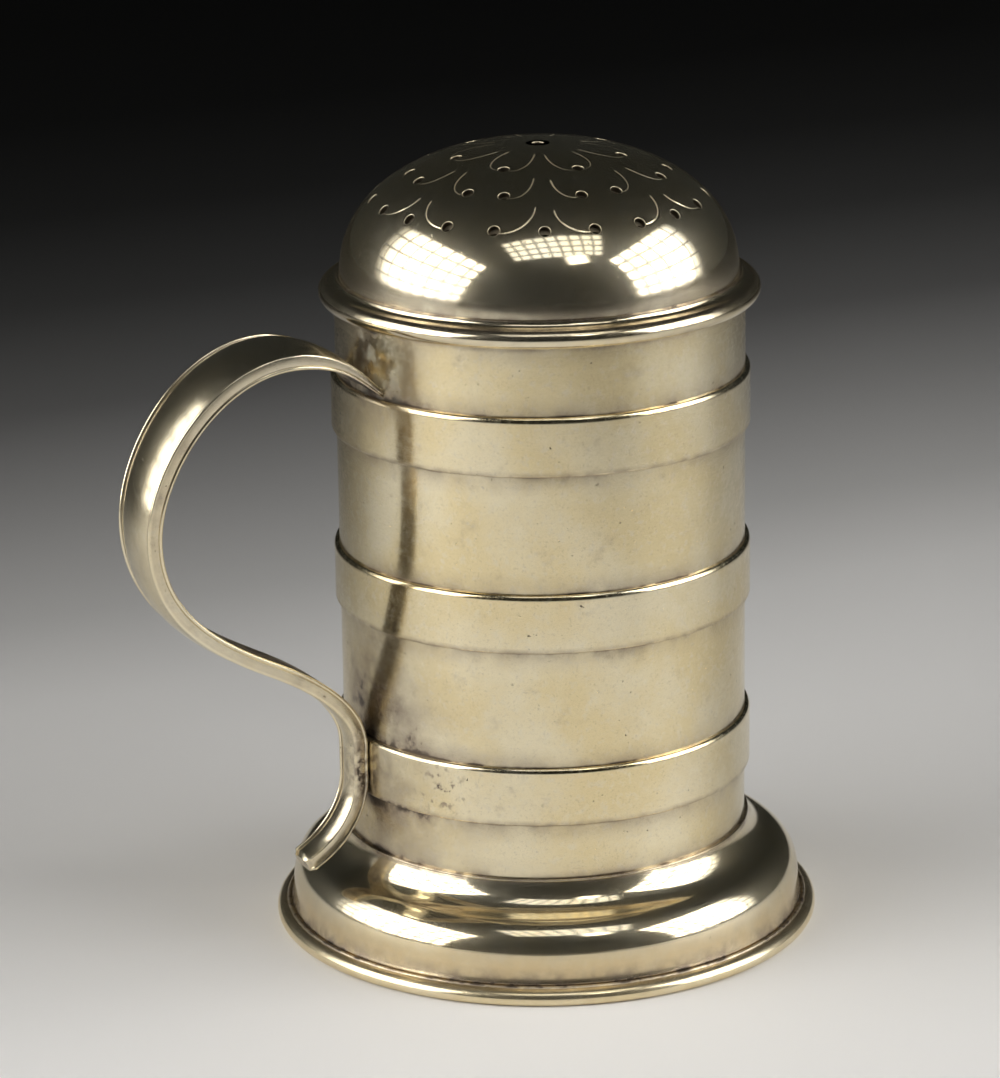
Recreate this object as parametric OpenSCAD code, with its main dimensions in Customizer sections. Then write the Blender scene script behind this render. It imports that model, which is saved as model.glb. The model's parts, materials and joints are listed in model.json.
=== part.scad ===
// Sugar caster with a scroll handle: a straight banded body on a spread foot,
// and a pierced dome cover that pulls off and turns in the mouth.
// Millimetres, +Z up. The origin is on the body's axis, on the table. The handle points along -X.

/* [Body] */
// Outside diameter of the body tube
body_d = 58; // [50:0.5:70]
// Thickness of the body sheet
body_wall = 0.8; // [0.6:0.1:1.4]
// Height of the open mouth above the table
mouth_z = 92; // [89:0.5:110]
// Depth of the underside of the floor below the top of the foot
floor_drop = 3.4; // [2.8:0.1:5]
// Thickness of the floor disc
floor_t = 0.8; // [0.6:0.1:1.2]

/* [Bands] */
// Height of each applied band
band_h = 8.4; // [6:0.1:10]
// How far the bands stand out from the body
band_proud = 0.72; // [0.5:0.02:1.2]
// Height of the lowest band above the table
band_first_z = 23.2; // [20:0.1:26]
// Distance from one band to the next
band_pitch = 25.3; // [22:0.1:26]
// Rounding of the band edges
band_edge_r = 0.3; // [0.1:0.05:0.4]

/* [Foot] */
// Outside diameter of the foot ring on the table
foot_d = 78.7; // [74:0.1:90]
// Width of the ledge of the foot ring outside the foot
ring_ledge = 2.15; // [1.8:0.05:2.6]
// Height of the foot up to its collar
foot_h = 15.2; // [14.5:0.1:18]
// Thickness of the foot sheet
foot_t = 0.9; // [0.6:0.1:1.2]
// How far the collar stands out from the body
collar_proud = 0.9; // [0.7:0.05:1.4]
// Height of the near-upright wall at the bottom of the foot
foot_wall_h = 3.3; // [2.5:0.1:4.5]
// How much the wall flares out above the ring
foot_flare = 0.9; // [0.5:0.1:1.4]
// Height of the foot ring
ring_h = 2.3; // [1.8:0.1:3]
// Width of the foot ring
ring_w = 4.4; // [3.6:0.1:6]

/* [Handle] */
// Width of the strap at its upper end
strap_w = 13.5; // [10:0.5:16]
// Width of the strap where it rests on the lower band
strap_low_w = 5.2; // [4.8:0.1:7]
// Width of the tip of the tail
strap_tip_w = 5.1; // [4:0.1:6]
// Thickness of the strap at its upper joint and at its tip
strap_end_t = 0.9; // [0.8:0.05:1.2]
// Height of the lips along the edges
lip_h = 2.2; // [1.8:0.1:2.8]
// Width of the lips along the edges
lip_w = 0.5; // [0.4:0.05:0.8]
// Drop from the mouth to the upper joint
joint_drop = 8.2; // [7:0.1:8.4]
// Distance from the body to the top of the arch
arch_out = 10.9; // [9:0.1:12]
// Rise of the arch above the upper joint
arch_rise = 4.3; // [3.5:0.1:5]
// Reach of the loop out from the body
loop_reach = 32.2; // [28:0.1:36]
// Height of the widest reach of the loop above the table
loop_z = 66.6; // [63:0.1:70]
// Distance from the body to the bend of the scroll
bend_out = 15.2; // [13:0.1:18]
// Height of the bend of the scroll above the table
bend_z = 45.9; // [44:0.1:48]
// Reach of the tail out from the lower band
tail_out = 9.2; // [8:0.1:10]
// Drop of the tail below the middle of the lower band
tail_drop = 14.2; // [13:0.1:15]

/* [Cover] */
// Height of the dome above its seat
dome_h = 18.3; // [15:0.1:22]
// Thickness of the dome sheet
dome_t = 0.8; // [0.6:0.1:1]
// Squareness of the dome section, where 2 is a plain ellipse
dome_power = 2.2; // [2:0.05:2.6]
// Diameter of the pierced holes
hole_d = 1.6; // [1.2:0.1:2]
// Rays in the pierced pattern
hole_rays = 7; // [5:1:8]
// Radius of the first ring of holes
hole_ring_1 = 11.8; // [9:0.1:13]
// Radius of the second ring of holes
hole_ring_2 = 18; // [16:0.1:19.5]
// Radius of the third ring of holes
hole_ring_3 = 23.3; // [22.5:0.1:24.5]
// Angle of the first ray
hole_start = 243.5; // [0:0.5:359.5]
// How far the cover rim stands out from the body
rim_proud = 2.15; // [1.8:0.05:3]
// Radius of the half-round bead of the rim
bead_r = 1.33; // [1:0.01:1.5]
// Height of the rim from the mouth to the seat of the dome
rim_h = 3.5; // [3.2:0.1:5]
// Depth of the bezel in the mouth
bezel_depth = 12; // [8:0.5:18]
// Thickness of the bezel sheet
bezel_wall = 0.7; // [0.5:0.1:1]

/* [Fits] */
// Radial clearance of the bezel in the mouth
bezel_clear = 0.07; // [0.03:0.01:0.1]
// Solder film between pieces that are joined for good
solder_gap = 0.03; // [0.02:0.01:0.06]

/* [Hidden] */
$fn = 96;

body_r = body_d / 2;
bore_r = body_r - body_wall;
floor_z = foot_h - floor_drop;
tube_z = floor_z + floor_t;
band_r = body_r + band_proud;

foot_r = foot_d / 2;
foot_wall_r = foot_r - ring_ledge;
foot_shoulder_r = foot_wall_r - foot_flare;
foot_shoulder_z = ring_h + foot_wall_h;
collar_r = body_r + collar_proud;
collar_h = 0.5;
collar_step = 0.12;
collar_turn = 60;
neck_r = collar_r - collar_step;
neck_z = foot_h - collar_h;

bezel_r = bore_r - bezel_clear;
seat_z = mouth_z + rim_h;
rim_r = body_r + rim_proud;
rim_bore_r = bezel_r + solder_gap;
dome_r = bezel_r;

// Shape of the foot from its neck, 0, to its shoulder, 1: a cavetto, then a convex shoulder
FOOT_CURVE = [[0, 0], [0.03, 0.18], [0.17, 0.22], [0.385, 0.333], [0.74, 0.52], [0.985, 0.667], [1, 1]];
// Shape of the foot's wall, as shares of its flare and of its height above the ring
FOOT_WALL_CURVE = [[0, 1], [0.05, 0.65], [0.15, 0.3], [1, 0.2]];
// Share of the strap's narrowing, from its wide part to the lower band, along the path
STRAP_TAPER = [[0, 0], [0.12, 0], [0.36, 0.41], [0.57, 0.74], [0.76, 1], [1, 1]];
// Share of the path at which the tail starts to narrow
tail_share = 0.78;

silver = [0.80, 0.77, 0.70];
silver_bright = [0.86, 0.83, 0.76];
silver_dull = [0.66, 0.62, 0.54];

function mix2(a, b, t) = a + (b - a) * t;
function bezier(p, t) =
    pow(1 - t, 3) * p[0] + 3 * pow(1 - t, 2) * t * p[1] + 3 * (1 - t) * t * t * p[2] + pow(t, 3) * p[3];
function bezier_run(p, steps) = [for (i = [0 : steps - 1]) bezier(p, i / steps)];
function arc(c, r, from, to, steps) =
    [for (i = [0 : steps]) c + r * [cos(mix2(from, to, i / steps)), sin(mix2(from, to, i / steps))]];
function unit(v) = v / norm(v);
function last(list) = list[len(list) - 1];
function tangent(list, i) = unit(list[min(i + 1, len(list) - 1)] - list[max(i - 1, 0)]);

module spin(points) {
    rotate_extrude() polygon(points);
}

// Body

module body_tube() {
    edge_r = body_wall * 0.3;
    color(silver) spin(concat(
        [[bore_r, tube_z], [body_r, tube_z]],
        arc([body_r - edge_r, mouth_z - edge_r], edge_r, 0, 90, 4),
        [[bore_r, mouth_z]]));
}

module floor_disc() {
    color(silver_dull) translate([0, 0, floor_z]) cylinder(h = floor_t, r = body_r);
}

module band(z) {
    edge_r = min(band_edge_r, band_proud * 0.8);
    color(silver_bright) spin(concat(
        [[body_r + solder_gap, z]],
        arc([band_r - edge_r, z + edge_r], edge_r, -90, 0, 4),
        arc([band_r - edge_r, z + band_h - edge_r], edge_r, 0, 90, 4),
        [[body_r + solder_gap, z + band_h]]));
}

module lower_band() {
    band(band_first_z);
}

module middle_band() {
    band(band_first_z + band_pitch);
}

module upper_band() {
    band(band_first_z + 2 * band_pitch);
}

// Foot

function foot_point(p) = [mix2(neck_r, foot_shoulder_r, p[0]), mix2(neck_z, foot_shoulder_z, p[1])];
foot_ctrl = [for (p = FOOT_CURVE) foot_point(p)];
function wall_point(p) = [foot_shoulder_r + foot_flare * p[0], ring_h + foot_wall_h * p[1]];
foot_wall_ctrl = [for (p = FOOT_WALL_CURVE) wall_point(p)];
foot_outside = concat(
    bezier_run([for (i = [0 : 3]) foot_ctrl[i]], 9),
    bezier_run([for (i = [3 : 6]) foot_ctrl[i]], 12),
    bezier_run(foot_wall_ctrl, 8),
    [last(foot_wall_ctrl), [foot_wall_r, ring_h]]);

function inward(list, i) = let (t = tangent(list, i)) [t[1], -t[0]];
foot_inside = [for (i = [1 : len(foot_outside) - 3]) foot_outside[i] + foot_t * inward(foot_outside, i)];

module foot() {
    bore = body_r + solder_gap;
    neck_low_z = neck_z - foot_t;
    color(silver_bright) difference() {
        spin(concat(
            [[bore - foot_t, foot_h]],
            arc([collar_r - collar_h / 2, foot_h - collar_h / 2], collar_h / 2, 90, -collar_turn, 6),
            foot_outside,
            [[foot_wall_r - foot_t, ring_h], [foot_wall_r - foot_t, last(foot_inside)[1]]],
            [for (i = [len(foot_inside) - 1 : -1 : 0]) foot_inside[i]],
            [[bore - foot_t, neck_low_z]]));
        translate([0, 0, floor_z]) cylinder(h = foot_h, r = bore);
    }
}

// The ring has a fine raised line beside the wall of the foot, and a rounded outer edge
line_gap = 0.2;
line_w = 0.45;
line_h = 0.25;
line_slope = 0.11;
line_r = foot_wall_r + line_gap;
ring_low_r = ring_h * 0.4;
ring_side_z = ring_h * 0.85;

module foot_ring() {
    shoulder = [
        [line_r + line_w + line_slope, ring_h],
        [foot_r - ring_low_r, ring_h],
        [foot_r, ring_side_z],
        [foot_r, ring_low_r]];
    color(silver_bright) spin(concat(
        [[foot_r - ring_w, 0], [foot_r - ring_w, ring_h], [line_r, ring_h]],
        [[line_r + line_slope, ring_h + line_h], [line_r + line_w - line_slope, ring_h + line_h]],
        bezier_run(shoulder, 8),
        arc([foot_r - ring_low_r, ring_low_r], ring_low_r, 0, -90, 6)));
}

// Handle: a strap with a crown between two fine lips, swept along a scroll in the XZ plane.
// The path is the inner face of the strap, as distance from the axis and height.

joint_z = mouth_z - joint_drop;
joint_stub = 0.8;
joint_start = [body_r + joint_stub, joint_z];
arch = [body_r + arch_out, joint_z + arch_rise];
loop_side = [body_r + loop_reach, loop_z];
bend = [body_r + bend_out, bend_z];
seat_r = band_r + solder_gap;
low_z = band_first_z + band_h / 2;
// The strap lies on the lower band between these two shares of the band's height
rest_share_up = 0.37;
rest_share_down = 0.17;
rest_top = [seat_r, low_z + band_h * rest_share_up];
rest_end = [seat_r, low_z - band_h * rest_share_down];
tail_tip = [seat_r + tail_out, low_z - tail_drop];

// How far the curve runs straight on at each of these points, as a step along the path
joint_pull = [2.9, 2.35];
arch_pull_in = [5.1, 0.5];
arch_pull_out = [11.6, 1.15];
loop_pull_in = [0, -9.9];
loop_pull_out = [0, -10.7];
bend_pull_in = [-8.5, -4.5];
bend_pull_out = [-6.1, -3.23];
rest_pull_in = [0, -7];
rest_pull_out = [0, -5.3];
tail_pull = [5.7, -2.55];

joint_steps = 6;
strap_path = concat(
    bezier_run([joint_start, joint_start + joint_pull, arch - arch_pull_in, arch], joint_steps),
    bezier_run([arch, arch + arch_pull_out, loop_side - loop_pull_in, loop_side], 14),
    bezier_run([loop_side, loop_side + loop_pull_out, bend - bend_pull_in, bend], 12),
    bezier_run([bend, bend + bend_pull_out, rest_top - rest_pull_in, rest_top], 10),
    [rest_top, mix2(rest_top, rest_end, 0.5)],
    bezier_run([rest_end, rest_end + rest_pull_out, tail_tip - tail_pull, tail_tip], 12),
    [tail_tip]);
strap_last = len(strap_path) - 1;

// The tip is rounded over its last stretch
tip_round = 0.8;
tip_least = 0.75;
function tip_scale(i) =
    let (d = norm(strap_path[strap_last] - strap_path[i]))
    let (k = 1 - min(1, d / tip_round))
    max(tip_least, sqrt(1 - k * k));
function strap_width(i) =
    let (u = i / strap_last)
    let (w = mix2(strap_w, strap_low_w, lookup(u, STRAP_TAPER)))
    mix2(w, strap_tip_w, max(0, (u - tail_share) / (1 - tail_share))) * tip_scale(i);
// The strap is thin at the upper joint and thickens up to the arch
function strap_height(i) = mix2(strap_end_t, lip_h, min(i / joint_steps, tip_scale(i)));

// Section of the strap: the outer line runs over one lip, over the crown and over the other lip
lip_steps = 3;
crown_steps = 8;
half_ring = 2 * (lip_steps + 1) + crown_steps + 1;
ring_size = 2 * half_ring;
edge_chamfer = 0.35;
// A lip takes up this share of the width at most
lip_share = 0.2;
// Height of the grooves beside the lips, and rise of the crown above them where the strap is widest,
// as shares of the height of the lips
groove_share = 0.86;
crown_rise = 0.44;
// The foot of the crown keeps this many lip radii from the edge of the strap
crown_margin = 2.3;
function lip_r(w) = min(lip_w, w * lip_share) / 2;
function lip_line(w, h) = arc([w / 2 - lip_r(w), h - lip_r(w)], lip_r(w), 0, 180, lip_steps);
function crown_line(w, h) = [
    for (i = [0 : crown_steps])
        let (f = 1 - 2 * i / crown_steps)
        let (rise = crown_rise * w / strap_w)
        [f * (w / 2 - crown_margin * lip_r(w)), h * (groove_share + rise * (1 - f * f))]];
function far_lip_line(w, h) = let (p = lip_line(w, h)) [for (i = [lip_steps : -1 : 0]) [-p[i][0], p[i][1]]];
function outer_line(w, h) = concat(lip_line(w, h), crown_line(w, h), far_lip_line(w, h));
function inner_line(w) = [
    for (j = [0 : half_ring - 1])
        [(w / 2 - edge_chamfer) * (1 - 2 * j / (half_ring - 1)), 0]];
function strap_section(i) =
    let (w = strap_width(i), h = strap_height(i))
    concat(outer_line(w, h), inner_line(w));

function place(i, q) =
    let (t = tangent(strap_path, i))
    let (p = strap_path[i] + q[1] * [-t[1], t[0]])
    [-p[0], q[0], p[1]];
function strap_ring(i) = [for (q = strap_section(i)) place(i, q)];
// The first ring slides back along the path until it lies on the body
function landed(p) =
    let (t = tangent(strap_path, 0))
    let (r = body_r + solder_gap)
    let (x = -sqrt(r * r - p[1] * p[1]))
    [x, p[1], p[2] - (x - p[0]) * t[1] / t[0]];

strap_points = concat(
    [for (p = strap_ring(0)) landed(p)],
    [for (i = [0 : strap_last]) each strap_ring(i)]);
strap_rings = strap_last + 2;
function ring_at(k, j) = k * ring_size + j;
// Points of a ring in order round the section: the outer line, then the inner line backwards
function round_at(k, j) = ring_at(k, j < half_ring ? j : 3 * half_ring - 1 - j);
function side_faces() = [
    for (k = [0 : strap_rings - 2])
        for (j = [0 : ring_size - 1])
            let (n = (j + 1) % ring_size)
            each [[round_at(k, j), round_at(k + 1, n), round_at(k + 1, j)],
                  [round_at(k, j), round_at(k, n), round_at(k + 1, n)]]];
function cap_faces(k, flip) = [
    for (j = [0 : half_ring - 2])
        let (a = ring_at(k, j), b = ring_at(k, j + 1))
        let (c = ring_at(k, half_ring + j + 1), d = ring_at(k, half_ring + j))
        each flip ? [[a, b, c], [a, c, d]] : [[a, c, b], [a, d, c]]];

module handle_strap() {
    color(silver) polyhedron(
        points = strap_points,
        faces = concat(side_faces(), cap_faces(0, false), cap_faces(strap_rings - 1, true)));
}

// Cover

module cover_bezel() {
    bezel_h = bezel_depth + rim_h;
    color(silver_dull) translate([0, 0, mouth_z - bezel_depth]) difference() {
        cylinder(h = bezel_h, r = bezel_r);
        translate([0, 0, -1]) cylinder(h = bezel_h + 2, r = bezel_r - bezel_wall);
    }
}

// The rim is a half-round bead with a crease above it and a hollow that rises to the seat of the dome
crease_turn = 75;
crease_step = [-0.1, -0.12];
seat_margin = 0.4;
bead_c = [rim_r - bead_r, mouth_z + bead_r];
crease = bead_c + bead_r * [cos(crease_turn), sin(crease_turn)];
rim_top_r = dome_r + seat_margin;
hollow = [
    crease + crease_step,
    [mix2(crease[0], rim_top_r, 0.7), crease[1]],
    [rim_top_r, mix2(crease[1], seat_z, 0.3)],
    [rim_top_r, seat_z]];

module cover_rim() {
    color(silver_bright) spin(concat(
        [[rim_bore_r, mouth_z]],
        arc(bead_c, bead_r, -90, crease_turn, 14),
        bezier_run(hollow, 7),
        [last(hollow), [rim_bore_r, seat_z]]));
}

// Point of a dome of base radius r and height h, with t from 0 at the base to 90 at the crown
function dome_point(r, h, t) =
    [r * pow(max(cos(t), 0), 2 / dome_power), seat_z + h * pow(max(sin(t), 0), 2 / dome_power)];
dome_steps = 26;
function dome_line(r, h) = concat(
    [for (i = [0 : dome_steps - 1]) dome_point(r, h, 90 * i / dome_steps)],
    [[0, seat_z + h]]);

// A hole drilled square to the dome at a distance from the axis
module dome_hole(ring_r, angle) {
    t = acos(pow(ring_r / dome_r, dome_power / 2));
    p = dome_point(dome_r, dome_h, t);
    slope_r = pow(p[0] / dome_r, dome_power - 1) / dome_r;
    slope_z = pow((p[1] - seat_z) / dome_h, dome_power - 1) / dome_h;
    drill_h = 6 * dome_t;
    rotate([0, 0, angle]) translate([p[0], 0, p[1]]) rotate([0, atan2(slope_r, slope_z), 0])
        cylinder(h = drill_h, d = hole_d, center = true, $fn = 32);
}

module cover_dome() {
    ray = 360 / hole_rays;
    inside = dome_line(dome_r - dome_t, dome_h - dome_t);
    color(silver_bright) difference() {
        spin(concat(
            dome_line(dome_r, dome_h),
            [for (i = [len(inside) - 1 : -1 : 0]) inside[i]]));
        dome_hole(0, 0);
        for (i = [0 : hole_rays - 1]) {
            dome_hole(hole_ring_1, hole_start + (i + 0.5) * ray);
            for (side = [-1, 1])
                dome_hole(hole_ring_2, hole_start + (i + side / 3) * ray);
            for (side = [-1, 0, 1])
                dome_hole(hole_ring_3, hole_start + (i + side / 3) * ray);
        }
    }
}

body_tube();
floor_disc();
foot();
foot_ring();
lower_band();
middle_band();
upper_band();
handle_strap();
cover_bezel();
cover_rim();
cover_dome();
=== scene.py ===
"""Looks of the sugar caster: worn silver built round the CAD frame, on a pale table between soft lights."""

import json
import math

import bpy
import numpy as np
from mathutils import Matrix, Vector

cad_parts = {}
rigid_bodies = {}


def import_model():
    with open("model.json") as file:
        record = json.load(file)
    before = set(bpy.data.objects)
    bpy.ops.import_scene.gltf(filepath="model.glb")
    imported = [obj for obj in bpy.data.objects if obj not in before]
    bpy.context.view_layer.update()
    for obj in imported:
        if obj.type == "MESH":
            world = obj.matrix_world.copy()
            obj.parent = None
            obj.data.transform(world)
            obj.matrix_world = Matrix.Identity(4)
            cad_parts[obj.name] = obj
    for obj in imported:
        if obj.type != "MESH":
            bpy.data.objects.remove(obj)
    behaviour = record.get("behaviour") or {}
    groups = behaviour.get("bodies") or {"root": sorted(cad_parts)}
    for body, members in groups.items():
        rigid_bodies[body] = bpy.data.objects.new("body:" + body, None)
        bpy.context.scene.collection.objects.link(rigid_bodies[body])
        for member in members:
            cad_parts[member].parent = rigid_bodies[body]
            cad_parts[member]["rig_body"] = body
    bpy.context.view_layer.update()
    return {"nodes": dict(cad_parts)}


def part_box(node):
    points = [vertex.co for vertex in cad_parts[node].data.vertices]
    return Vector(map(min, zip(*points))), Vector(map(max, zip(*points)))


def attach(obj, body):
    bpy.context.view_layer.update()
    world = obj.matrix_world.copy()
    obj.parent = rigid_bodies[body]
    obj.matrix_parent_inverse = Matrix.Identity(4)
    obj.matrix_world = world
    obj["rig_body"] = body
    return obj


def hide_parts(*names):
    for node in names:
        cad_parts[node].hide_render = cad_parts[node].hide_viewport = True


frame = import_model()

# Lengths are in millimetres, but in metres on the stage, and angles are in degrees.
MM = 0.001
SEGMENTS = 288
GUARD = 0.07
SHARP_EDGE = 38
TINY = 1e-6


def size(node):
    """Outer radius, lowest and highest point of a round CAD node."""
    low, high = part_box(node)
    return high.x / MM, low.z / MM, high.z / MM


body_r, tube_z, mouth_z = size("body_tube")
band_r, low_band_z, low_band_top = size("lower_band")
middle_band_z = size("middle_band")[1]
upper_band_z = size("upper_band")[1]
foot_wall_r, ring_h, foot_h = size("foot")
foot_r = size("foot_ring")[0]
bezel_r, bezel_z, bezel_top = size("cover_bezel")
rim_r, rim_z, seat_z = size("cover_rim")
dome_r, dome_z, crown_z = size("cover_dome")
band_h = low_band_top - low_band_z
dome_h = crown_z - dome_z

body_wall = 0.8
foot_t = 0.9
dome_t = 0.8
solder_gap = 0.03


def mix(a, b, share):
    return a + (b - a) * share


def bezier(points, steps):
    """Points of a cubic curve, with its last point."""
    p = np.array(points, float)
    t = np.linspace(0, 1, steps + 1)[:, None]
    return (1 - t) ** 3 * p[0] + 3 * (1 - t) ** 2 * t * p[1] + 3 * (1 - t) * t**2 * p[2] + t**3 * p[3]


def arc(centre, radius, start, end, steps):
    turn = np.radians(np.linspace(start, end, steps + 1))
    return np.array(centre) + radius * np.stack([np.cos(turn), np.sin(turn)], axis=1)


def line(*points):
    return np.array(points, float)


def unit(rows):
    """The rows as vectors of length 1."""
    return rows / np.linalg.norm(rows, axis=1)[:, None]


# Mesh pieces


def place(name, data):
    thing = bpy.data.objects.new(name, data)
    bpy.context.scene.collection.objects.link(thing)
    return thing


def show(name, points, faces, node, slot, material, normals=None, **marks):
    """A mesh, given in millimetres, that stands for a CAD node and moves with its body.
    Marks are values at the points, which the material reads by their name."""
    mesh = bpy.data.meshes.new(name)
    mesh.from_pydata((np.array(points) * MM).tolist(), [], faces)
    mesh.update()
    mesh.shade_smooth()
    if normals is None:
        mesh.set_sharp_from_angle(angle=math.radians(SHARP_EDGE))
    else:
        mesh.normals_split_custom_set_from_vertices(normals.tolist())
    for mark, values in marks.items():
        mesh.attributes.new(mark, "FLOAT", "POINT").data.foreach_set("value", values.astype(np.float32))
    mesh.materials.append(material)
    piece = place(name, mesh)
    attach(piece, frame["nodes"][node]["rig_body"])
    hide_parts(node)
    return piece


def guarded(profile):
    """The closed profile with extra points beside its corners, which keep long faces flat in the light."""
    out = []
    for a, b in zip(profile, np.roll(profile, -1, axis=0)):
        length = np.linalg.norm(b - a)
        out.append(a)
        if length > 4 * GUARD:
            out.append(mix(a, b, GUARD / length))
            out.append(mix(a, b, 1 - GUARD / length))
    return np.array(out)


def closed(*runs):
    """One profile from several runs of points, without points that fall together."""
    points = np.concatenate(runs)
    apart = np.linalg.norm(points - np.roll(points, 1, axis=0), axis=1) > TINY
    return points[apart]


def lathe(name, profile, node, slot, material):
    """A closed profile of (radius, height), outer side upwards, spun round the axis."""
    rows = guarded(profile)
    turn = np.linspace(0, 2 * math.pi, SEGMENTS, endpoint=False)
    ring = np.stack([np.cos(turn), np.sin(turn)], axis=1)
    points = np.zeros((SEGMENTS, len(rows), 3))
    points[:, :, :2] = ring[:, None, :] * rows[None, :, :1]
    points[:, :, 2] = rows[:, 1]
    count = len(rows)
    faces = []
    for j in range(SEGMENTS):
        here = j * count
        there = (j + 1) % SEGMENTS * count
        for i in range(count):
            after = (i + 1) % count
            faces.append((here + i, there + i, there + after, here + after))
    return show(name, points.reshape(-1, 3), faces, node, slot, material)


# Materials


class Surface:
    """A node material, with short calls for the nodes that it is built from."""

    def __init__(self, name):
        self.material = bpy.data.materials.new(name)
        self.material.use_nodes = True
        self.tree = self.material.node_tree
        self.shader = self.tree.nodes["Principled BSDF"]
        self.place = self.add("ShaderNodeTexCoord").outputs["Object"]
        split = self.add("ShaderNodeSeparateXYZ")
        self.feed(split.inputs[0], self.place)
        self.x, self.y, self.z = split.outputs

    def add(self, kind, **settings):
        node = self.tree.nodes.new(kind)
        for key, value in settings.items():
            setattr(node, key, value)
        return node

    def feed(self, socket, value):
        if isinstance(value, bpy.types.NodeSocket):
            self.tree.links.new(value, socket)
        else:
            socket.default_value = value

    def math(self, operation, first, second=0.0, clamp=False):
        node = self.add("ShaderNodeMath", operation=operation, use_clamp=clamp)
        self.feed(node.inputs[0], first)
        self.feed(node.inputs[1], second)
        return node.outputs[0]

    def noise(self, grain, detail=3.0, place=None, rough=0.55):
        """Noise with spots about that many millimetres across."""
        node = self.add("ShaderNodeTexNoise")
        self.feed(node.inputs["Vector"], self.place if place is None else place)
        node.inputs["Scale"].default_value = 1 / (grain * MM)
        node.inputs["Detail"].default_value = detail
        node.inputs["Roughness"].default_value = rough
        return node.outputs["Fac"]

    def ramp(self, share, stops):
        """Value or colour that changes with a share, given as (place, value) stops."""
        node = self.add("ShaderNodeValToRGB")
        self.feed(node.inputs[0], share)
        ramp = node.color_ramp
        while len(ramp.elements) < len(stops):
            ramp.elements.new(1.0)
        for element, (position, value) in zip(ramp.elements, stops):
            element.position = position
            colour = value if isinstance(value, tuple) else (value,) * 3
            element.color = (*colour, 1.0)
        return node.outputs["Color"]

    def span(self, value, low, high, out_low=0.0, out_high=1.0, smooth=True):
        """The value's place between low and high, spread from out_low to out_high."""
        node = self.add("ShaderNodeMapRange", interpolation_type="SMOOTHSTEP" if smooth else "LINEAR")
        for socket, number in zip(node.inputs[:5], (value, low, high, out_low, out_high)):
            self.feed(socket, number)
        return node.outputs[0]

    def mix(self, share, first, second):
        """A colour between two, which are sockets 6 and 7 of a Mix node."""
        node = self.add("ShaderNodeMix", data_type="RGBA")
        self.feed(node.inputs[0], share)
        self.feed(node.inputs[6], (*first, 1.0) if isinstance(first, tuple) else first)
        self.feed(node.inputs[7], (*second, 1.0) if isinstance(second, tuple) else second)
        return node.outputs[2]

    def near(self, point, reach):
        """1 at a point of the frame, fading to 0 at that distance."""
        node = self.add("ShaderNodeVectorMath", operation="DISTANCE")
        self.feed(node.inputs[0], self.place)
        node.inputs[1].default_value = [c * MM for c in point]
        return self.span(node.outputs["Value"], 0.0, reach * MM, 1.0, 0.0)

    def heights(self, low, high, marks):
        """A value that changes with height, given as (height, value) marks."""
        share = self.span(self.z, low * MM, high * MM, smooth=False)
        return self.ramp(share, [((z - low) / (high - low), value) for z, value in sorted(marks)])

    def turning(self, grain, around):
        """Noise like the marks of a lathe: streaks that wide run round the axis, so many to a radian."""
        angle = self.math("ARCTAN2", self.y, self.x)
        radius = self.math("SQRT", self.total(self.times(self.x, self.x), self.times(self.y, self.y)))
        node = self.add("ShaderNodeCombineXYZ")
        self.feed(node.inputs[0], self.math("MULTIPLY", angle, around))
        across = self.math("SUBTRACT", self.z, radius)
        self.feed(node.inputs[1], self.math("MULTIPLY", across, 1 / (grain * MM)))
        return self.noise(1 / MM, 3.0, node.outputs[0])

    def grain(self):
        """A value from 0 to 1 without a pattern, for marks finer than the eye can see."""
        node = self.add("ShaderNodeTexWhiteNoise")
        self.feed(node.inputs["Vector"], self.place)
        return node.outputs["Value"]

    def mark(self, name):
        """A value that the mesh has at its points."""
        return self.add("ShaderNodeAttribute", attribute_name=name).outputs["Fac"]

    def bump(self, height, depth, before=None):
        node = self.add("ShaderNodeBump")
        node.inputs["Distance"].default_value = depth * MM
        self.feed(node.inputs["Height"], height)
        if before is not None:
            self.feed(node.inputs["Normal"], before)
        return node.outputs["Normal"]

    def along(self, way):
        """How far a point lies along a direction of the frame."""
        node = self.add("ShaderNodeVectorMath", operation="DOT_PRODUCT")
        self.feed(node.inputs[0], self.place)
        node.inputs[1].default_value = way
        return node.outputs["Value"]

    def total(self, *values):
        out = values[0]
        for value in values[1:]:
            out = self.math("ADD", out, value)
        return out

    def times(self, *values):
        out = values[0]
        for value in values[1:]:
            out = self.math("MULTIPLY", out, value)
        return out

    def mottled(self, mask, grain, least=0.35):
        """The mask with light and dark patches."""
        return self.times(mask, self.span(self.noise(grain), 0.3, 0.68, least, 1.1))

    def patchy(self, mask, grain, low, high, most, detail=4.0):
        """The mask, broken up by noise where that lies between low and high."""
        return self.times(mask, self.span(self.noise(grain, detail), low, high), most)


BRIGHT = (0.87, 0.78, 0.56)
WARM = (0.82, 0.69, 0.415)
COOL = (0.82, 0.76, 0.61)
PALE = (0.80, 0.785, 0.69)
GOLD = (0.72, 0.55, 0.30)
SHADE_AND_TARNISH = (0.27, 0.215, 0.175)
DEEP_SHADE_AND_TARNISH = (0.085, 0.07, 0.055)
RESIDUE = (0.60, 0.62, 0.54)


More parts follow.
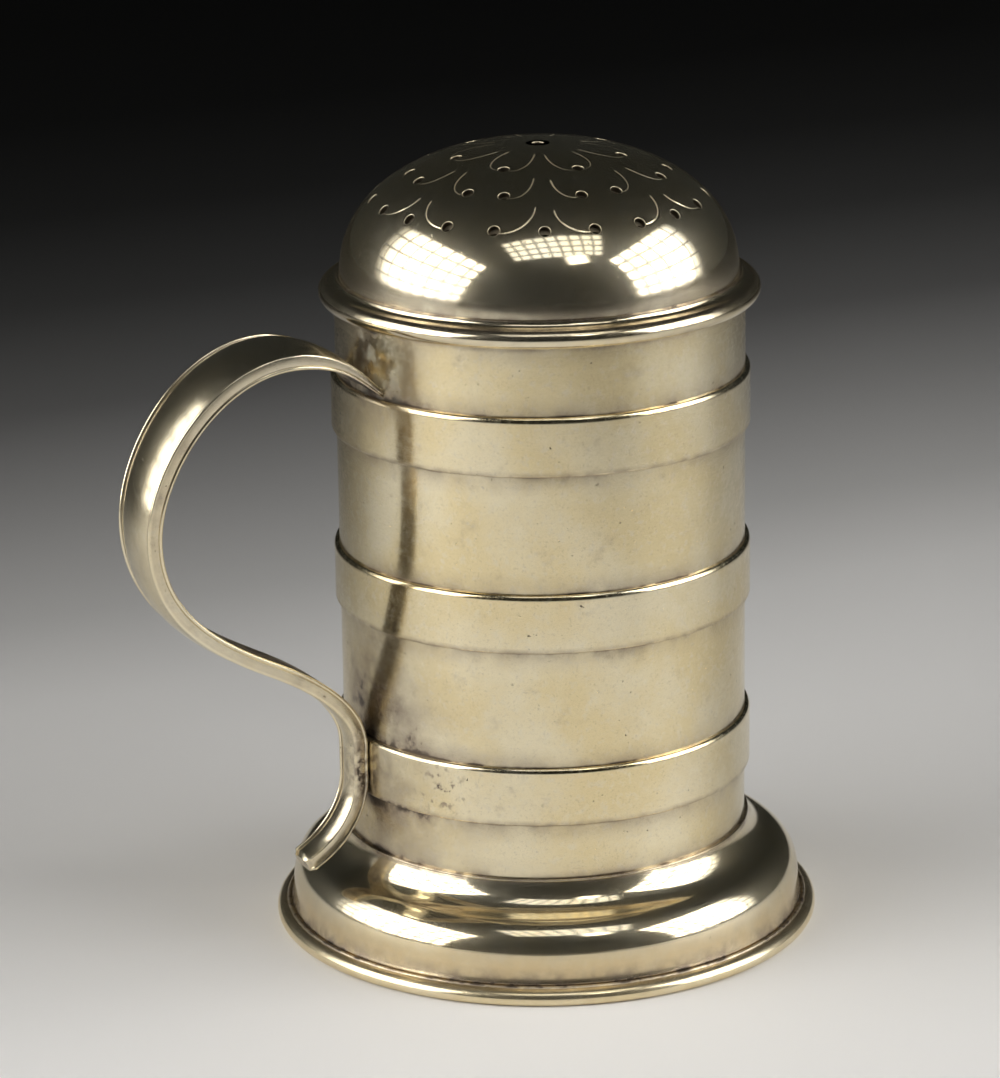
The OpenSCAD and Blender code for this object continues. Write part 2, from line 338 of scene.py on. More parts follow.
def worn_silver(
    name, gloss, hazy, haze, waves, wear, turned, pale, gold, tarnish, residue=None, worked=False
):
    """Silver with marks of the lathe, grit, pits and dents.
    Hazy is the share that is duller, haze by how much, and pale how far it has kept its polish.
    Gold, tarnish and residue are functions that make a mask each; some tarnish masks hold painted shade as
    well. A worked sheet has strokes and holes; its hole walls and its inside are darkened as painted shade."""
    metal = Surface(name)
    cloud = metal.noise(13, 4.0)
    fine = metal.noise(1.1, 4.0)
    streak = metal.turning(0.26, 2.2)
    tone = metal.mix(metal.span(cloud, 0.36, 0.66), WARM, BRIGHT)
    tone = metal.mix(metal.span(fine, 0.5, 0.72, 0.0, 0.45), tone, COOL)
    tone = metal.mix(metal.span(metal.noise(8), 0.3, 0.7, 0.8 * pale, pale), tone, PALE)
    tone = metal.mix(gold(metal), tone, GOLD)
    tone = metal.mix(metal.span(metal.noise(0.32, 2.0), 0.55, 0.78, 0.0, 0.3 * wear), tone, SHADE_AND_TARNISH)

    # The stain mask holds tarnish together with the painted shade that some tarnish functions give, at band
    # edges, under the rim and on the strap.
    stain_and_shade = metal.times(metal.span(metal.noise(5, 6.0, rough=0.7), 0.56, 0.74), 0.25 * wear)
    stain_and_shade = metal.math("ADD", stain_and_shade, tarnish(metal), clamp=True)
    specks = metal.span(metal.noise(0.75, 1.0), 0.745, 0.785)
    spotted = metal.times(specks, metal.span(metal.noise(9, 2.0), 0.48, 0.62), 0.8 * wear)
    tone = metal.mix(stain_and_shade, tone, SHADE_AND_TARNISH)
    tone = metal.mix(metal.span(stain_and_shade, 0.7, 1.0, 0.0, 0.85), tone, DEEP_SHADE_AND_TARNISH)
    tone = metal.mix(spotted, tone, DEEP_SHADE_AND_TARNISH)

    rough = metal.total(
        gloss,
        metal.span(metal.grain(), 1.0 - 2.0 * hazy, 1.0, 0.0, haze),
        metal.span(fine, 0.40, 0.75, 0.0, 0.05 * wear),
        metal.span(streak, 0.45, 0.75, 0.0, 0.03 * wear),
        metal.times(stain_and_shade, 0.25),
        metal.times(spotted, 0.3),
    )
    if worked:
        cut = metal.mark("worked")
        rough = metal.math("ADD", rough, metal.span(cut, 0.05, 0.45, 0.0, 0.42))
        # Painted shade: the walls of the holes and the inside of the dome are darkened.
        tone = metal.mix(metal.span(cut, 0.55, 0.9, 0.0, 0.95), tone, DEEP_SHADE_AND_TARNISH)
    if residue is not None:
        crust = residue(metal)
        tone = metal.mix(crust, tone, RESIDUE)
        rough = metal.math("ADD", rough, metal.times(crust, 0.35))
        metal.feed(metal.shader.inputs["Metallic"], metal.span(crust, 0.0, 1.0, 1.0, 0.25, smooth=False))
    else:
        metal.shader.inputs["Metallic"].default_value = 1.0

    normal = metal.bump(metal.noise(16, 1.0), 0.10 * waves)
    normal = metal.bump(metal.noise(4.2, 2.0), 0.012 * waves, normal)
    normal = metal.bump(metal.turning(0.9, 1.6), 0.004 * turned, normal)
    normal = metal.bump(streak, 0.0006 * wear, normal)
    normal = metal.bump(metal.noise(0.3, 2.0), 0.0009 * wear, normal)
    normal = metal.bump(metal.span(specks, 0.0, 1.0, 1.0, 0.0), 0.015 * wear, normal)
    metal.feed(metal.shader.inputs["Base Color"], tone)
    metal.feed(metal.shader.inputs["Roughness"], rough)
    metal.feed(metal.shader.inputs["Normal"], normal)
    return metal.material


# Where the handle meets the body, the stains that the photo shows, and the lines beside the bands, which
# hold painted shade as well
joint_top = (-body_r, -3.0, mouth_z - 6.5)
joint_low = (-band_r, -4.0, low_band_z + band_h * 0.5)
smudge_place = (-0.998 * body_r, -0.066 * body_r, low_band_z + band_h + 6.0)
crust_place = (-0.985 * body_r, -0.17 * body_r, mouth_z - 5.0)
band_spot = (-0.842 * band_r, -0.539 * band_r, low_band_z + band_h * 0.5)
# Beside the bands the tube is darkest right at their edges: painted shade there, with tarnish fading out
# from it.
BAND_STAIN_AND_SHADE = 3.2
BAND_STAIN_AND_SHADE_STOPS = ((0.0, 0.95), (0.04, 0.85), (0.11, 0.52), (0.3, 0.34), (0.6, 0.15), (1.0, 0.0))


def at_joints(metal, top_reach, low_reach):
    """1 where the handle meets the body, fading out at those distances."""
    return metal.math("MAXIMUM", metal.near(joint_top, top_reach), metal.near(joint_low, low_reach))


def body_tarnish_and_shade(metal):
    """Dark lines beside the bands, collar and mouth, which beside the bands and under the rim are painted
    shade along with tarnish, clouds round the handle's joints and a smudge.
    """
    middle = (low_band_z + band_h / 2) * MM
    pitch = (middle_band_z - low_band_z) * MM
    off_band = metal.math("PINGPONG", metal.math("SUBTRACT", metal.z, middle), pitch / 2)
    share = metal.span(off_band, band_h / 2 * MM, (band_h / 2 + BAND_STAIN_AND_SHADE) * MM, smooth=False)
    beside = metal.ramp(share, BAND_STAIN_AND_SHADE_STOPS)
    marks = [(tube_z, 0.9), (foot_h - 0.1, 0.9), (foot_h + 0.25, 0.6), (foot_h + 1.1, 0.2)]
    # Just under the mouth the tube is darkened where the rim stands over it: painted shade along with
    # tarnish.
    marks += [(foot_h + 3.0, 0.0), (mouth_z - 3.0, 0.0), (mouth_z - 0.9, 0.25), (mouth_z - 0.1, 0.85)]
    ends = metal.heights(tube_z - 1, mouth_z + 1, marks)
    lines = metal.mottled(metal.math("MAXIMUM", beside, ends), 4.5)
    clouds = at_joints(metal, 17.0, 25.0)
    clouds = metal.patchy(clouds, grain=6, low=0.25, high=0.7, most=0.85)
    smudge = metal.near(smudge_place, 15.0)
    smudge = metal.patchy(smudge, grain=3.0, low=0.1, high=0.8, most=0.6, detail=5.0)
    return metal.total(lines, clouds, smudge)


def body_residue(metal):
    """Pale crust left beside the upper joint of the handle."""
    crust = metal.near(crust_place, 8.0)
    return metal.patchy(crust, grain=2.6, low=0.4, high=0.68, most=0.7, detail=5.0)


def band_tarnish_and_shade(metal):
    """Dark lower edges, which are painted shade along with tarnish, brown spots low on the front, and
    clouds round the handle's joints.
    """
    marks = []
    # Painted shade: each band is darkened along its lower edge, mottled like tarnish.
    for z in (low_band_z, middle_band_z, upper_band_z):
        marks += [(z - 0.2, 0.8), (z + 0.25, 0.55), (z + 0.9, 0.0), (z + band_h, 0.0)]
    edges = metal.mottled(metal.heights(low_band_z - 1, upper_band_z + band_h + 1, marks), 2.0)
    spots = metal.near(band_spot, 6.5)
    spots = metal.patchy(spots, grain=1.3, low=0.54, high=0.66, most=0.9, detail=3.0)
    clouds = at_joints(metal, 15.0, 17.0)
    clouds = metal.patchy(clouds, grain=6, low=0.28, high=0.7, most=0.8)
    return metal.total(edges, spots, clouds)


def foot_tarnish(metal):
    """Brown low on the foot's wall and in the groove above the ring, and under the collar."""
    marks = [(0.0, 0.1), (0.5, 0.0), (ring_h - 0.4, 0.0), (ring_h - 0.05, 0.35)]
    marks += [(ring_h + 0.12, 0.9), (ring_h + 0.6, 0.72), (ring_h + 1.3, 0.5), (ring_h + 2.6, 0.12)]
    marks += [(foot_h - 2.2, 0.0), (foot_h - 0.8, 0.2), (foot_h - 0.55, 0.8)]
    marks += [(foot_h - 0.35, 0.55), (foot_h, 0.8)]
    lines = metal.mottled(metal.heights(-0.5, foot_h + 0.5, marks), 2.4)
    clouds = metal.near(joint_low, 20.0)
    clouds = metal.patchy(clouds, grain=4.0, low=0.36, high=0.64, most=0.4)
    return metal.total(lines, clouds)


def rim_tarnish_and_shade(metal):
    """Dark under the bead, which is painted shade along with tarnish, in the crease above it and at the
    seat of the dome, and a film above that.
    """
    # The first mark, at the foot of the bead, is painted shade.
    marks = [(rim_z, 0.8), (rim_z + 0.25, 0.3), (rim_z + 1.0, 0.15), (rim_z + 1.6, 0.3), (rim_z + 2.3, 0.4)]
    marks += [(rim_z + 2.5, 0.8), (rim_z + 2.75, 0.2), (seat_z - 0.3, 0.1), (seat_z - 0.05, 0.8)]
    marks += [(seat_z + 0.15, 0.7), (seat_z + 0.45, 0.4), (seat_z + 2.0, 0.36)]
    marks += [(seat_z + 4.5, 0.12), (seat_z + 7.0, 0.0)]
    return metal.mottled(metal.heights(rim_z - 0.5, crown_z, marks), 2.4)


def handle_tarnish_and_shade(metal):
    """Dark ends at both joints, dull clouds along the strap, and the painted shade that the mesh gives."""
    ends = at_joints(metal, 8.0, 9.0)
    ends = metal.patchy(ends, grain=1.4, low=0.35, high=0.62, most=0.9)
    clouds = metal.span(metal.noise(6, 4.0), 0.52, 0.70, 0.0, 0.25)
    return metal.total(ends, clouds, metal.mottled(metal.mark("dirt"), 2.5, 0.7))


def inside_tarnish(metal):
    """An even dull film with lighter clouds, as silver has where no one polishes it."""
    return metal.span(metal.noise(7, 5.0), 0.3, 0.75, 0.62, 0.22)


def tint(share):
    """An even mask, only a little cloudy."""
    return lambda metal: metal.span(metal.noise(4, 4.0), 0.3, 0.7, 0.5 * share, share)


def foot_gold(metal):
    """Brown gold on the wall of the foot, which fades out above its shoulder."""
    marks = [(0.0, 0.7), (ring_h + 2.5, 0.7), (ring_h + 4.2, 0.4), (ring_h + 5.5, 0.12), (foot_h, 0.2)]
    return metal.mottled(metal.heights(0.0, foot_h + 0.5, marks), 4.0, 0.7)


SATIN = {"gloss": 0.09, "hazy": 0.35, "haze": 0.17, "waves": 0.8, "wear": 1.0, "turned": 0.15, "pale": 0.0}
satin_body = worn_silver(
    "silver_body", **SATIN, gold=tint(0.05), tarnish=body_tarnish_and_shade, residue=body_residue
)
satin_band = worn_silver("silver_band", **SATIN, gold=tint(0.08), tarnish=band_tarnish_and_shade)
polished_foot = worn_silver(
    "silver_foot", gloss=0.075, hazy=0.14, haze=0.4, waves=0.8, wear=0.3, turned=1.0, pale=0.3,
    gold=foot_gold, tarnish=foot_tarnish,
)
satin_ring = worn_silver(
    "silver_ring", gloss=0.14, hazy=0.35, haze=0.3, waves=0.6, wear=0.6, turned=0.6, pale=0.2,
    gold=tint(0.35), tarnish=foot_tarnish,
)
polished_rim = worn_silver(
    "silver_rim", gloss=0.055, hazy=0.13, haze=0.35, waves=0.8, wear=0.4, turned=0.4, pale=0.3,
    gold=tint(0.2), tarnish=rim_tarnish_and_shade,
)
polished_dome = worn_silver(
    "silver_dome", gloss=0.065, hazy=0.13, haze=0.4, waves=0.9, wear=0.4, turned=0.2, pale=0.4,
    gold=tint(0.18), tarnish=rim_tarnish_and_shade, worked=True,
)
handled = worn_silver(
    "silver_handle", gloss=0.12, hazy=0.22, haze=0.3, waves=0.6, wear=0.8, turned=0.0, pale=0.4,
    gold=tint(0.15), tarnish=handle_tarnish_and_shade,
)
dull_inside = worn_silver(
    "silver_inside", gloss=0.28, hazy=0.35, haze=0.2, waves=0.6, wear=1.0, turned=0.3, pale=0.0,
    gold=tint(0.2), tarnish=inside_tarnish,
)

# Body: a plain tube with three applied bands

bore_r = body_r - body_wall
mouth_edge = 0.3 * body_wall
tube_profile = closed(
    line((bore_r, tube_z), (body_r, tube_z)),
    arc((body_r - mouth_edge, mouth_z - mouth_edge), mouth_edge, 0, 90, 6),
    arc((bore_r + mouth_edge, mouth_z - mouth_edge), mouth_edge, 90, 180, 6),
)
lathe("silver_body_tube", tube_profile, "body_tube", "silver_satin", satin_body)

# The upper edges of the bands are worn down further than the lower ones
band_edge = 0.3
worn_edge = np.array((0.5, 0.8))
for band_node in ("lower_band", "middle_band", "upper_band"):
    edge_r, band_low, band_top = size(band_node)
    band_profile = closed(
        line((body_r + solder_gap, band_low)),
        arc((edge_r - band_edge, band_low + band_edge), band_edge, -90, 0, 7),
        arc((0, 0), 1, 0, 90, 10) * worn_edge + (edge_r - worn_edge[0], band_top - worn_edge[1]),
        line((body_r + solder_gap, band_top)),
    )
    lathe("silver_" + band_node, band_profile, band_node, "silver_satin", satin_band)

frame["nodes"]["floor_disc"].data.materials.clear()
frame["nodes"]["floor_disc"].data.materials.append(dull_inside)

# Foot: collar, hollow neck, convex shoulder and near-upright wall, on a wire ring

FOOT_CURVE = ((0, 0), (0.09, 0.27), (0.27, 0.345), (0.507, 0.411), (0.707, 0.471), (0.99, 0.6), (1, 1))
FOOT_WALL_CURVE = ((0, 1), (0.05, 0.65), (0.3, 0.35), (1, 0.1))
collar_proud = 0.55
collar_h = 0.36
collar_step = 0.05
collar_r = body_r + collar_proud
neck_r = collar_r - collar_step
neck_z = foot_h - collar_h
foot_wall_h = 3.0
foot_flare = 0.35
shoulder_r = foot_wall_r - foot_flare
shoulder_z = ring_h + foot_wall_h

foot_points = [(mix(neck_r, shoulder_r, a), mix(neck_z, shoulder_z, b)) for a, b in FOOT_CURVE]
wall_points = [(shoulder_r + foot_flare * a, ring_h + foot_wall_h * b) for a, b in FOOT_WALL_CURVE]
foot_outside = closed(
    bezier(foot_points[:4], 22),
    bezier(foot_points[3:], 30),
    bezier(wall_points, 14),
)
along = unit(np.gradient(foot_outside, axis=0))
foot_inside = foot_outside + foot_t * np.stack([along[:, 1], -along[:, 0]], axis=1)
foot_bore = body_r + solder_gap
inside_room = (foot_inside[:, 0] > foot_bore) & (foot_inside[:, 0] < foot_wall_r - foot_t)
foot_inside = foot_inside[inside_room & (foot_inside[:, 1] > ring_h)]
foot_profile = closed(
    line((foot_bore, foot_h)),
    arc((collar_r - collar_h / 2, foot_h - collar_h / 2), collar_h / 2, 90, -60, 8),
    foot_outside,
    line((foot_wall_r, ring_h), (foot_wall_r - foot_t, ring_h)),
    foot_inside[::-1],
    line((foot_bore, foot_inside[0, 1])),
)
lathe("silver_foot", foot_profile[::-1], "foot", "silver_polished", polished_foot)

# A fine raised line runs round the top of the ring, beside the wall of the foot
line_gap = 0.2
line_w = 0.45
line_h = 0.25
line_after = 0.11
ring_w = 4.4
line_r = foot_wall_r + line_gap
ring_low_r = 0.4 * ring_h
ring_pull = 0.85 * ring_h
ring_shoulder = bezier(
    (
        (line_r + line_w + line_after, ring_h),
        (foot_r - ring_low_r, ring_h),
        (foot_r, ring_pull),
        (foot_r, ring_low_r),
    ),
    18,
)
ring_profile = closed(
    line((foot_r - ring_w, 0), (foot_r - ring_w, ring_h), (line_r, ring_h)),
    arc((line_r + line_w / 2, ring_h), line_h, 160, 20, 8),
    ring_shoulder,
    arc((foot_r - ring_low_r, ring_low_r), ring_low_r, 0, -90, 10),
)
lathe("silver_foot_ring", ring_profile[::-1], "foot_ring", "silver_polished", satin_ring)

# Handle: a strap with a crown between two fine lips, swept along a scroll beside the body

joint_drop = 8.2
start_out = 0.8
arch_out = 10.9
arch_rise = 4.3
loop_reach = 32.2
loop_z = 66.6
bend_out = 15.2
bend_z = 45.9
rest_up = 0.37
rest_down = 0.17
tail_out = 9.2
tail_drop = 14.2
joint_z = mouth_z - joint_drop
low_z = low_band_z + band_h / 2
seat_r = band_r + solder_gap
strap_start = np.array((body_r + start_out, joint_z))
arch = np.array((body_r + arch_out, joint_z + arch_rise))
loop_side = np.array((body_r + loop_reach, loop_z))
bend = np.array((body_r + bend_out, bend_z))
rest_top = np.array((seat_r, low_z + rest_up * band_h))
rest_end = np.array((seat_r, low_z - rest_down * band_h))
tail_tip = np.array((seat_r + tail_out, low_z - tail_drop))
JOINT_SHARE = 6
# Each run of the path: start, pull out of it, pull into the end, end, and its share of the taper
STRAP_RUNS = (
    (strap_start, (2.9, 2.35), (5.1, 0.5), arch, JOINT_SHARE),
    (arch, (11.6, 1.15), (0, -9.9), loop_side, 14),
    (loop_side, (0, -10.7), (-8.5, -4.5), bend, 12),
    (bend, (-6.1, -3.23), (0, -7), rest_top, 10),
    (rest_top, (0, -0.7), (0, -0.7), rest_end, 2),
    (rest_end, (0, -5.3), (5.7, -2.55), tail_tip, 12),
)
STRAP_TAPER = ((0, 0), (0.12, 0), (0.36, 0.41), (0.57, 0.74), (0.76, 1), (1, 1))
whole_share = sum(run[4] for run in STRAP_RUNS)
STEPS_PER_SHARE = 5
strap_w = 13.5
strap_low_w = 5.2
strap_tip_w = 5.1
tail_share = 0.78
tip_round = 0.8
tip_least = 0.75
strap_end_t = 0.9
lip_h = 2.2
lip_w = 0.5
lip_most = 0.2
lip_foot = 2.3
groove_share = 0.86
crown_rise = 0.44
# The side of the strap: a fine bead along the inner face, a crease, and a slightly rounded band
edge_bead_r = 0.3
crease_in = 0.13
crease_up = 2.08 * edge_bead_r
band_up = 2.3 * edge_bead_r
band_swell = 0.05
# Shares of painted shade on the inner face, on the sides, in their creases and in the grooves beside the
# lips
inner_shade = 0.75
side_shade = 0.3
crease_shade = 0.6
groove_shade = 0.85


def strap_path():
    """Points of the inner face of the strap, and the share of the path at each."""
    path = []
    shares = []
    done = 0
    for start, pull_out, pull_in, end, weight in STRAP_RUNS:
        steps = weight * STEPS_PER_SHARE
        run = bezier((start, start + np.array(pull_out), end - np.array(pull_in), end), steps)
        path.extend(run[:-1])
        shares.extend((done + weight * i / steps) / whole_share for i in range(steps))
        done += weight
    path.append(tail_tip)
    shares.append(1.0)
    return np.array(path), np.array(shares)


def strap_section(width, height):
    """Section of the strap, across and outwards: round the outer face, then back along the inner face.
    With it come the shares of painted shade at its points."""
    half = width / 2
    thick = height / lip_h
    lip_r = min(lip_w, width * lip_most) / 2
    bead = arc((half - band_swell - edge_bead_r, edge_bead_r), edge_bead_r, -90, 62, 8) * (1, thick)
    crease = line((half - crease_in - band_swell, crease_up * thick))
    up = np.linspace(0, 1, 6)
    band_z = mix(band_up * thick, height - lip_r, up)
    band = np.stack([half - band_swell * (2 * up - 1) ** 2, band_z], axis=1)
    lip = arc((half - band_swell - lip_r, height - lip_r), lip_r, 8, 165, 10)
    share = np.linspace(1, 0, 10)
    wide = half - lip_foot * lip_r
    rise = crown_rise * width / strap_w
    crown = np.stack([share * wide, height * (groove_share + rise * (1 - share**2))], axis=1)
    right = np.concatenate([bead, crease, band, lip, crown])
    # Painted shade: the crease, the sides, the grooves beside the lips and the inner face are darkened.
    dirt = np.zeros(len(right))
    dirt[len(bead)] = crease_shade
    dirt[len(bead) + 1 : len(bead) + len(band)] = side_shade
    dirt[-len(crown)] = groove_shade
    left = right[:-1][::-1] * (-1, 1)
    back = np.linspace(-1, 1, 13)[1:-1] * (half - band_swell - edge_bead_r)
    inner = np.stack([back, np.zeros(len(back))], axis=1)
    dull = np.full(len(inner), inner_shade)
    return np.concatenate([right, left, inner]), np.concatenate([dirt, dirt[:-1][::-1], dull])


def strap_mesh():
    path, shares = strap_path()
    steps = unit(np.gradient(path, axis=0))
    narrow = np.interp(shares, *np.transpose(STRAP_TAPER))
    widths = mix(strap_w, strap_low_w, narrow)
    widths = mix(widths, strap_tip_w, np.clip((shares - tail_share) / (1 - tail_share), 0, 1))
    ending = 1 - np.clip(np.linalg.norm(path - tail_tip, axis=1) / tip_round, 0, 1)
    scales = np.maximum(tip_least, np.sqrt(1 - ending**2))
    rings = []
    heights = mix(strap_end_t, lip_h, np.minimum(shares * whole_share / JOINT_SHARE, scales))
    for p, t, width, height in zip(path, steps, widths * scales, heights):
        section, dirt = strap_section(width, height)
        r = p[0] - section[:, 1] * t[1]
        z = p[1] + section[:, 1] * t[0]
        rings.append(np.stack([-r, section[:, 0], z], axis=1))
    # The first ring slides back along the path until it lies on the body
    first = rings[0].copy()
    landed = -np.sqrt((body_r + solder_gap) ** 2 - first[:, 1] ** 2)
    first[:, 2] -= (landed - first[:, 0]) * steps[0][1] / steps[0][0]
    first[:, 0] = landed
    rings = [first, mix(first, rings[0], 0.5)] + rings
    count = len(first)
    faces = []
    for k in range(len(rings) - 1):
        for i in range(count):
            after = (i + 1) % count
            here = k * count
            there = here + count
            faces.append((here + i, here + after, there + after, there + i))
    faces.append(tuple(range(count))[::-1])
    faces.append(tuple(range((len(rings) - 1) * count, len(rings) * count)))
    return np.concatenate(rings), faces, np.tile(dirt, len(rings))


strap_points, strap_faces, strap_dirt = strap_mesh()
show(
    "silver_handle_strap", strap_points, strap_faces, "handle_strap", "silver_handle",
    handled, dirt=strap_dirt,
)

# Cover: bezel, moulded rim and the pierced, engraved dome

bezel_wall = 0.7
bezel_edge = 0.25
bezel_in = bezel_r - bezel_wall
bezel_profile = closed(
    arc((bezel_in + bezel_edge, bezel_z + bezel_edge), bezel_edge, 180, 270, 5),
    arc((bezel_r - bezel_edge, bezel_z + bezel_edge), bezel_edge, -90, 0, 5),
    line((bezel_r, bezel_top), (bezel_in, bezel_top)),
)
lathe("silver_cover_bezel", bezel_profile, "cover_bezel", "silver_inside", dull_inside)

bead_r = 1.33
crease_turn = 75
bead_centre = np.array((rim_r - bead_r, rim_z + bead_r))
crease = arc(bead_centre, bead_r, crease_turn, crease_turn, 0)[0]
rim_shelf = 0.4
rim_top_r = dome_r + rim_shelf
rim_bore_r = bezel_r + solder_gap
# The hollow starts a little inside the crease, and is pulled along it and then up the side of the dome
hollow_dip = (-0.1, -0.12)
hollow_along = 0.7
hollow_up = 0.3
rim_hollow = bezier(
    (
        crease + hollow_dip,
        (mix(crease[0], rim_top_r, hollow_along), crease[1]),
        (rim_top_r, mix(crease[1], seat_z, hollow_up)),
        (rim_top_r, seat_z),
    ),
    16,
)
rim_profile = closed(
    line((rim_bore_r, rim_z)),
    arc(bead_centre, bead_r, -90, crease_turn, 26),
    rim_hollow,
    line((rim_bore_r, seat_z)),
)
lathe("silver_cover_rim", rim_profile, "cover_rim", "silver_polished", polished_rim)

DOME_POWER = 2.2
DOME_STEPS = 4000
RAYS = 7
first_ray = 243.5
ray_turn = 360 / RAYS
hole_r = 0.8
hole_lip = 0.09
hole_shade = 0.06
wall_past = 0.03
LIP_TURNS = (30, 60, 90)
# The worked mark is 0 on plain sheet, up to 0.5 in strokes and on the lips of holes, and 1 in their walls;
# from 0.55 up it darkens the colour as painted shade
STROKE_MARK = 0.5
HOLE_MARK = 1.0
# The inside of the dome gets a mark that paints it dark, as painted shade.
INSIDE_MARK = 0.8
STROKE_GAIN = 1.6
ON_SHEET = 1e-3
ring_1 = 11.8
ring_2 = 18.0
ring_3 = 23.3
# Cells of the dome's grid: round it, their size down it, and the parts that an engraved cell is split into
CELLS_ROUND = RAYS * 26
CELL = 0.8
ENGRAVED_SPLIT = 8
PLAIN_SPLIT = 4
HOLE_ROOM = 1.25
HOLE_RINGS = 9
centre_edge = 1.7
# Engraved strokes beside each ray: radius and angle at the start, then at the end beside a hole
STROKES = (
    (5.8, 6.5, ring_1 + 0.35, ray_turn / 2 - 4.6),
    (14.0, 5.0, ring_2 + 0.45, ray_turn / 3 - 2.8),
    (20.0, 3.7, ring_3 + 0.35, ray_turn / 3 - 2.2),
)
stroke_half = 0.2
stroke_depth = 0.12
STROKE_STEPS = 60
# Share of a stroke that its head takes up, and how far it narrows and rises towards its end
stroke_head = 0.1
stroke_narrows = 0.5
stroke_rises = 0.45
GROOVE_POWER = 1.5
# Room beside a stroke that is split finely, and room in which its points are looked for
STROKE_ROOM = 0.25
STROKE_SEARCH = 2.5
# The strokes are cut by hand, so they differ by up to these shares, millimetres and degrees
HAND_SEED = 11
HAND = np.random.default_rng(HAND_SEED)
hand_share = 0.22
hand_start = 0.45
hand_turn = 0.7


def dome_holes():
    """Radius and angle of every hole but the one at the crown."""
    holes = []
    for i in range(RAYS):
        holes.append((ring_1, first_ray + (i + 0.5) * ray_turn))
        for side in (-1, 1):
            holes.append((ring_2, first_ray + (i + side / 3) * ray_turn))
        for side in (-1, 0, 1):
            holes.append((ring_3, first_ray + (i + side / 3) * ray_turn))
    return holes


def dome_strokes():
    """Radius, angle, half width and depth along every engraved stroke."""
    share = np.linspace(0, 1, STROKE_STEPS)
    swing = share * math.pi / 2
    head = np.sqrt(np.clip(share / stroke_head, 0, 1))
    half = stroke_half * head * (1 - stroke_narrows * share)
    depth = stroke_depth * head * (1 - stroke_rises * share)
    strokes = []
    for i in range(RAYS):
        for side in (-1, 1):
            for start_r, start_turn, end_r, end_turn in STROKES:
                radius = mix(start_r + HAND.uniform(-hand_start, hand_start), end_r, np.sin(swing))
                turn = mix(start_turn + HAND.uniform(-hand_turn, hand_turn), end_turn, 1 - np.cos(swing))
                width = half * (1 - hand_share * HAND.random())
                strokes.append((radius, first_ray + i * ray_turn + side * turn, width, depth))
    return strokes


